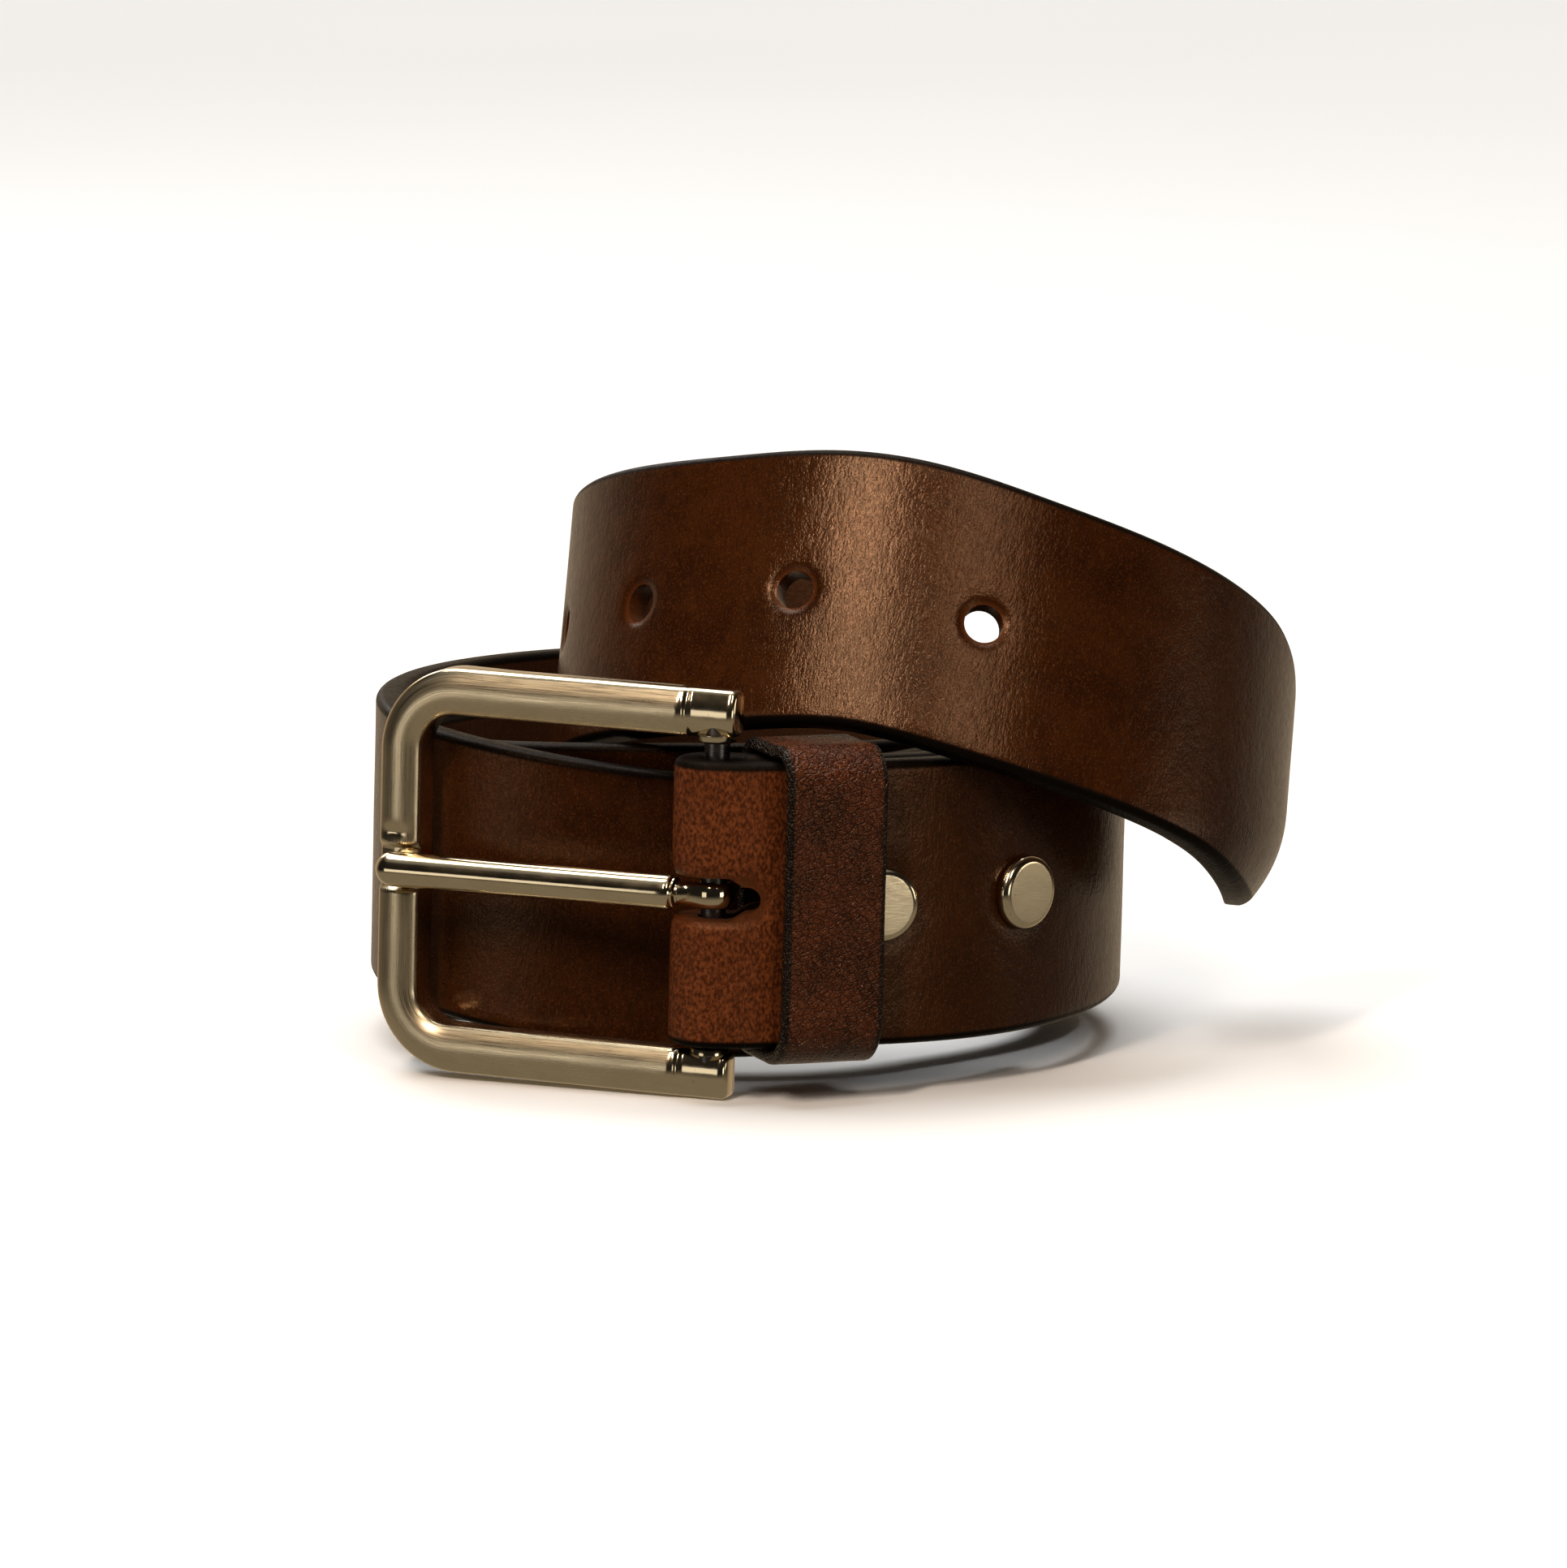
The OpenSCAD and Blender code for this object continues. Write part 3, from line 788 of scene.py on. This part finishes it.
class Shade:
    """A material's nodes, with a short way to add each kind."""

    def __init__(self, name):
        self.material = bpy.data.materials.new(name)
        self.material.use_nodes = True
        self.nodes = self.material.node_tree.nodes
        self.links = self.material.node_tree.links
        self.shader = self.nodes["Principled BSDF"]

    def put(self, socket, value):
        if isinstance(value, bpy.types.NodeSocket):
            self.links.new(value, socket)
        else:
            socket.default_value = value

    def add(self, kind, inputs=(), **settings):
        node = self.nodes.new(kind)
        for key, value in settings.items():
            setattr(node, key, value)
        for key, value in dict(inputs).items():
            self.put(node.inputs[key], value)
        return node

    def vector(self, name):
        return self.add("ShaderNodeAttribute", attribute_name=name).outputs["Vector"]

    def parts(self, vector):
        return self.add("ShaderNodeSeparateXYZ", {"Vector": vector}).outputs

    def scaled(self, vector, by):
        return self.add("ShaderNodeVectorMath", {0: vector, 1: by}, operation="MULTIPLY").outputs[0]

    def noise(self, vector, scale, detail=3.0, roughness=0.55):
        inputs = {"Vector": vector, "Scale": scale, "Detail": detail, "Roughness": roughness}
        return self.add("ShaderNodeTexNoise", inputs).outputs["Fac"]

    def cells(self, vector, scale, feature="F1"):
        inputs = {"Vector": vector, "Scale": scale}
        return self.add("ShaderNodeTexVoronoi", inputs, feature=feature).outputs["Distance"]

    def math(self, kind, a, b=0.0):
        return self.add("ShaderNodeMath", {0: a, 1: b}, operation=kind).outputs[0]

    def between(self, value, low, high, start=0.0, end=1.0):
        """Goes smoothly from start to end while value goes from low to high."""
        inputs = {"Value": value, "From Min": low, "From Max": high, "To Min": start, "To Max": end}
        return self.add("ShaderNodeMapRange", inputs, interpolation_type="SMOOTHSTEP").outputs["Result"]

    def mix(self, share, a, b, blend="MIX"):
        node = self.add("ShaderNodeMix", data_type="RGBA", blend_type=blend)
        self.put(node.inputs[0], share)
        self.put(node.inputs[6], a)
        self.put(node.inputs[7], b)
        return node.outputs[2]

    def bump(self, height, strength, distance, normal=None):
        inputs = {"Height": height, "Strength": strength, "Distance": distance}
        if normal is not None:
            inputs["Normal"] = normal
        return self.add("ShaderNodeBump", inputs).outputs["Normal"]

    def finish(self, **inputs):
        for key, value in inputs.items():
            self.put(self.shader.inputs[key.replace("_", " ")], value)
        return self.material


def rgb(r, g, b):
    return (r, g, b, 1.0)


def strap_material():
    s = Shade("strap_leather")
    run = s.vector("run")
    edge, rim, flesh = s.parts(s.vector("place"))
    along = s.parts(run)[0]
    mottle = s.noise(s.scaled(run, (0.045, 0.06, 0.06)), 1.0, 5.0, 0.62)
    blotch = s.noise(s.scaled(run, (0.3, 0.2, 0.3)), 1.0, 4.0, 0.6)
    streak = s.noise(s.scaled(run, (2.6, 0.75, 2.0)), 1.0, 3.0, 0.6)
    speck = s.noise(s.scaled(run, (4.5, 3.5, 4.0)), 1.0, 2.0, 0.5)

    colour = s.mix(s.between(mottle, 0.3, 0.72), rgb(0.018, 0.0045, 0.0011), rgb(0.042, 0.0115, 0.0026))
    colour = s.mix(s.between(blotch, 0.38, 0.7, 0.0, 0.5), colour, rgb(0.052, 0.0150, 0.0036))
    colour = s.mix(s.between(streak, 0.46, 0.70, 0.0, 0.6), colour, rgb(0.013, 0.0038, 0.0014))
    colour = s.mix(s.between(speck, 0.5, 0.72, 0.0, 0.7), colour, rgb(0.085, 0.026, 0.0065))
    # Round the fold the leather is lighter, more orange, more fibrous and rougher.
    fold_zone = s.math("MULTIPLY", s.between(along, -14.0, -9.0), s.between(along, 24.0, 12.0))
    fibre = s.noise(s.scaled(run, (3.0, 1.5, 2.5)), 1.0, 5.0, 0.68)
    fold_colour = s.mix(s.between(fibre, 0.38, 0.64), rgb(0.052, 0.0110, 0.0030), rgb(0.245, 0.0660, 0.0195))
    fold_colour = s.mix(s.between(blotch, 0.45, 0.75, 0.0, 0.4), fold_colour, rgb(0.075, 0.0160, 0.0045))
    colour = s.mix(s.math("MULTIPLY", fold_zone, 0.85), colour, fold_colour)
    raw = s.between(rim, 0.75, 0.05)
    colour = s.mix(s.math("MULTIPLY", raw, 0.8), colour, rgb(0.085, 0.023, 0.006))
    suede = s.mix(s.between(speck, 0.3, 0.7), rgb(0.032, 0.011, 0.0045), rgb(0.06, 0.022, 0.009))
    colour = s.mix(flesh, colour, suede)
    burnish = s.between(edge, 1.35, 0.75)
    colour = s.mix(burnish, colour, rgb(0.0036, 0.0026, 0.0020))

    rough = s.between(mottle, 0.3, 0.7, 0.21, 0.17)
    rough = s.math("ADD", rough, s.between(streak, 0.35, 0.7, -0.04, 0.08))
    rough = s.math("ADD", rough, s.math("MULTIPLY", fold_zone, 0.14))
    rough = s.math("ADD", rough, s.math("MULTIPLY", flesh, 0.4))
    rough = s.math("ADD", rough, s.math("MULTIPLY", burnish, 0.15))

    grain = s.math("ADD", s.math("MULTIPLY", streak, 0.7), s.math("MULTIPLY", speck, 0.5))
    grain = s.math("ADD", grain, s.math("MULTIPLY", s.math("MULTIPLY", fibre, fold_zone), 1.6))
    pores = s.between(s.cells(s.scaled(run, (1.9, 1.5, 1.7)), 1.0), 0.0, 0.32)
    normal = s.bump(grain, 0.42, 0.00018)
    normal = s.bump(pores, 0.12, 0.00008, normal)
    normal = s.bump(blotch, 0.25, 0.0005, normal)
    shine = s.between(burnish, 0.0, 1.0, 0.30, 0.05)
    return s.finish(
        Base_Color=colour, Roughness=rough, Normal=normal, Specular_IOR_Level=shine, Specular_Tint=WARM
    )


def keeper_material():
    s = Shade("keeper_leather")
    run = s.vector("run")
    edge, _, flesh = s.parts(s.vector("place"))
    mottle = s.noise(s.scaled(run, (0.14, 0.16, 0.15)), 1.0, 4.0, 0.6)
    speck = s.noise(s.scaled(run, (2.8, 2.8, 2.8)), 1.0, 3.0, 0.6)
    creases = s.cells(s.scaled(run, (1.1, 0.8, 1.0)), 1.0, "DISTANCE_TO_EDGE")
    fine = s.cells(s.scaled(run, (2.7, 2.2, 2.5)), 1.0, "DISTANCE_TO_EDGE")
    colour = s.mix(s.between(mottle, 0.35, 0.65), rgb(0.034, 0.0074, 0.0022), rgb(0.095, 0.0225, 0.0066))
    colour = s.mix(s.between(speck, 0.45, 0.7, 0.0, 0.6), colour, rgb(0.165, 0.052, 0.020))
    # Painted shade: the crease lines are coloured darker.
    colour = s.mix(s.between(creases, 0.06, 0.0, 0.0, 0.5), colour, rgb(0.016, 0.0042, 0.0018))
    colour = s.mix(flesh, colour, rgb(0.04, 0.015, 0.007))
    colour = s.mix(s.between(edge, 1.0, 0.5), colour, rgb(0.0050, 0.0038, 0.0032))
    height = s.math("ADD", s.between(creases, 0.0, 0.14), s.math("MULTIPLY", s.between(fine, 0.0, 0.2), 0.6))
    normal = s.bump(height, 0.9, 0.00026)
    normal = s.bump(speck, 0.25, 0.00012, normal)
    rough = s.between(speck, 0.3, 0.7, 0.20, 0.29)
    rough = s.math("ADD", rough, s.math("MULTIPLY", flesh, 0.35))
    return s.finish(
        Base_Color=colour, Roughness=rough, Normal=normal, Specular_IOR_Level=0.30, Specular_Tint=WARM
    )


def metal_material(name, base, satin, polished, along=0.12, across=7.0, dull=0.0):
    """Light brass plate: brushed where "brush" says 0 and polished where it says 1."""
    s = Shade(name)
    brush = s.vector("brush")
    polish = s.parts(brush)[2]
    lines = s.noise(s.scaled(brush, (along, across, 0.0)), 1.0, 3.0, 0.6)
    cloud = s.noise(s.scaled(brush, (0.16, 0.3, 0.0)), 1.0, 3.0, 0.6)
    marks = s.cells(s.scaled(brush, (0.55, 0.5, 0.0)), 1.0)
    colour = s.mix(s.between(cloud, 0.3, 0.7), rgb(*[c * 0.9 for c in base]), rgb(*base))
    colour = s.mix(s.between(lines, 0.35, 0.75, 0.0, 0.22), colour, rgb(*[c * 0.72 for c in base]))
    colour = s.mix(s.between(marks, 0.1, 0.03, 0.0, 0.5 + dull), colour, rgb(*[c * 0.5 for c in base]))
    plain = s.between(lines, 0.3, 0.75, satin - 0.05, satin + 0.09)
    shiny = s.between(cloud, 0.3, 0.7, polished, polished + 0.05)
    blend = s.add("ShaderNodeMix", data_type="FLOAT")
    s.put(blend.inputs[0], polish)
    s.put(blend.inputs[2], plain)
    s.put(blend.inputs[3], shiny)
    depth = s.math("MULTIPLY", s.math("SUBTRACT", 1.0, polish), lines)
    normal = s.bump(depth, 0.22, 0.00006)
    normal = s.bump(cloud, 0.1, 0.0002, normal)
    return s.finish(Base_Color=colour, Metallic=1.0, Roughness=blend.outputs[0], Normal=normal)


def hidden_metal(name, base, roughness):
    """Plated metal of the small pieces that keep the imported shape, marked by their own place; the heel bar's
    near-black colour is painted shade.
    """
    s = Shade(name)
    where = s.add("ShaderNodeTexCoord").outputs["Object"]
    lines = s.noise(s.scaled(where, (900.0, 900.0, 5000.0)), 1.0, 3.0, 0.6)
    cloud = s.noise(where, 260.0, 3.0, 0.6)
    colour = s.mix(s.between(cloud, 0.3, 0.7), rgb(*[c * 0.8 for c in base]), rgb(*base))
    rough = s.between(lines, 0.3, 0.7, roughness - 0.04, roughness + 0.08)
    normal = s.bump(lines, 0.15, 0.00005)
    return s.finish(Base_Color=colour, Metallic=1.0, Roughness=rough, Normal=normal)


def floor_material():
    s = Shade("floor")
    where = s.add("ShaderNodeTexCoord").outputs["Object"]
    cloud = s.noise(where, 3.0, 2.0, 0.5)
    colour = s.mix(s.between(cloud, 0.3, 0.7), rgb(0.885, 0.885, 0.88), rgb(0.90, 0.90, 0.895))
    return s.finish(Base_Color=colour, Roughness=0.9, Specular_IOR_Level=0.1)


# ---------------------------------------------------------------------------------------------
# Camera, light and floor
# ---------------------------------------------------------------------------------------------
TABLE_GLOW = rgb(0.25, 0.22, 0.175)
WALL_GLOW = rgb(0.014, 0.013, 0.012)
TOP_GLOW = rgb(0.50, 0.49, 0.47)
BACKDROP_GLOW = rgb(0.50, 0.39, 0.27)


def make_camera():
    """Level with the roll from the front, a little above it, with a long lens."""
    data = bpy.data.cameras.new("camera")
    data.sensor_width = 36.0
    data.lens = 219.0
    data.clip_start, data.clip_end = 0.1, 60.0
    camera = bpy.data.objects.new("camera", data)
    bpy.context.scene.collection.objects.link(camera)
    target = Vector(to_row([0, 0, 33.85])) * MM
    rise = math.radians(9.59)
    back = Vector((0, -math.cos(rise), math.sin(rise)))
    camera.location = target + back * 1.3
    camera.rotation_euler = (-back).to_track_quat("-Z", "Y").to_euler()
    bpy.context.scene.camera = camera


def softbox(name, towards, distance, width, height, power, tint=(1, 1, 1)):
    """An area light at a direction from the roll, facing it."""
    data = bpy.data.lights.new(name, "AREA")
    data.shape = "RECTANGLE"
    data.size, data.size_y = width, height
    data.energy = power
    data.color = tint
    lamp = bpy.data.objects.new(name, data)
    bpy.context.scene.collection.objects.link(lamp)
    direction = Vector(towards).normalized()
    lamp.location = Vector((0, 0, 0.04)) + direction * distance
    lamp.rotation_euler = (-direction).to_track_quat("-Z", "Y").to_euler()


def make_world():
    """A dark studio with a pale table below, a pale backdrop behind and a soft glow overhead."""
    world = bpy.data.worlds.new("studio")
    world.use_nodes = True
    nodes, links = world.node_tree.nodes, world.node_tree.links
    where = nodes.new("ShaderNodeTexCoord")
    split = nodes.new("ShaderNodeSeparateXYZ")
    links.new(where.outputs["Generated"], split.inputs[0])
    share = nodes.new("ShaderNodeMapRange")
    links.new(split.outputs[2], share.inputs["Value"])
    share.inputs["From Min"].default_value = -1.0
    ramp = nodes.new("ShaderNodeValToRGB")
    links.new(share.outputs["Result"], ramp.inputs["Fac"])
    stops = (
        (0.0, TABLE_GLOW), (0.34, TABLE_GLOW), (0.45, WALL_GLOW), (0.84, WALL_GLOW), (1.0, TOP_GLOW)
    )
    while len(ramp.color_ramp.elements) < len(stops):
        ramp.color_ramp.elements.new(0.5)
    for element, (at, colour) in zip(ramp.color_ramp.elements, stops):
        element.position = at
        element.color = colour
    behind = nodes.new("ShaderNodeMapRange")
    behind.interpolation_type = "SMOOTHSTEP"
    links.new(split.outputs[1], behind.inputs["Value"])
    behind.inputs["From Min"].default_value = 0.25
    behind.inputs["From Max"].default_value = 0.85
    mix = nodes.new("ShaderNodeMix")
    mix.data_type = "RGBA"
    links.new(behind.outputs["Result"], mix.inputs[0])
    links.new(ramp.outputs["Color"], mix.inputs[6])
    mix.inputs[7].default_value = BACKDROP_GLOW
    links.new(mix.outputs[2], nodes["Background"].inputs["Color"])
    nodes["Background"].inputs["Strength"].default_value = 1.0
    bpy.context.scene.world = world


def overhead():
    """Even light from above, mostly for the floor."""
    data = bpy.data.lights.new("overhead", "SUN")
    data.energy = 2.45
    data.angle = math.radians(50)
    lamp = bpy.data.objects.new("overhead", data)
    bpy.context.scene.collection.objects.link(lamp)
    lamp.rotation_euler = Vector((0.12, -0.25, -1.0)).to_track_quat("-Z", "Y").to_euler()


def make_stage():
    size = 15000
    points = [(-size, -size, -0.2), (size, -size, -0.2), (size, size, -0.2), (-size, size, -0.2)]
    floor = new_object("floor", points, [[0, 1, 2, 3]], smooth=False)
    floor.data.materials.append(floor_material())
    floor.visible_glossy = False
    floor.visible_diffuse = False
    make_world()
    overhead()
    softbox("key", (-0.315, -0.67, 0.66), 0.9, 0.08, 0.32, 4.4, (1.0, 0.82, 0.67))
    softbox("second", (0.25, -0.72, 0.66), 0.9, 0.13, 0.32, 1.4, (1.0, 0.84, 0.70))
    softbox("front_left", (-0.75, -0.66, -0.02), 1.0, 0.42, 0.24, 0.40, (1.0, 0.95, 0.88))
    softbox("front_right", (0.66, -0.75, -0.02), 1.0, 0.30, 0.22, 0.66, (1.0, 0.95, 0.86))
    softbox("right", (1.0, -0.05, 0.02), 1.1, 0.36, 0.26, 0.70, (1.0, 0.92, 0.80))
    softbox("behind", (-0.55, 1.0, 0.7), 1.1, 0.5, 0.4, 2.0)


# ---------------------------------------------------------------------------------------------
# Assembly
# ---------------------------------------------------------------------------------------------
LIGHT_BRASS = (0.73, 0.605, 0.40)


def dress(obj, material, body, node):
    obj.data.materials.clear()
    obj.data.materials.append(material)
    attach(obj, body)
    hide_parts(node)


def paint_node(name, material):
    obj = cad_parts[name]
    obj.data.materials.clear()
    obj.data.materials.append(material)


def build():
    make_camera()
    make_stage()
    brushed = metal_material("brushed_brass", LIGHT_BRASS, 0.30, 0.12)
    polished = metal_material("polished_brass", LIGHT_BRASS, 0.2, 0.09)
    satin = metal_material("satin_brass", LIGHT_BRASS, 0.34, 0.12, along=0.5, across=4.0, dull=0.3)
    dress(make_strap(), strap_material(), "strap", "strap")
    dress(make_keeper(), keeper_material(), "keeper", "keeper_loop")
    dress(make_buckle_frame(), brushed, "buckle", "buckle_frame")
    dress(make_prong(), polished, "prong", "prong")
    for i in (0, 1):
        dress(make_stud(i), satin, "strap", f"stud_post_{i + 1}")
        paint_node(f"stud_screw_{i + 1}", hidden_metal(f"screw_plate_{i + 1}", LIGHT_BRASS, 0.3))
    # The heel bar is coloured near-black as painted shade, for the shadow it sits in between the lugs and the
    # fold.
    paint_node("buckle_bar", hidden_metal("heel_bar_painted_shade", (0.13, 0.12, 0.11), 0.30))
    paint_node("keeper_staples", hidden_metal("staple_wire", (0.55, 0.55, 0.55), 0.25))
    bpy.context.scene.view_settings.view_transform = "Standard"


build()
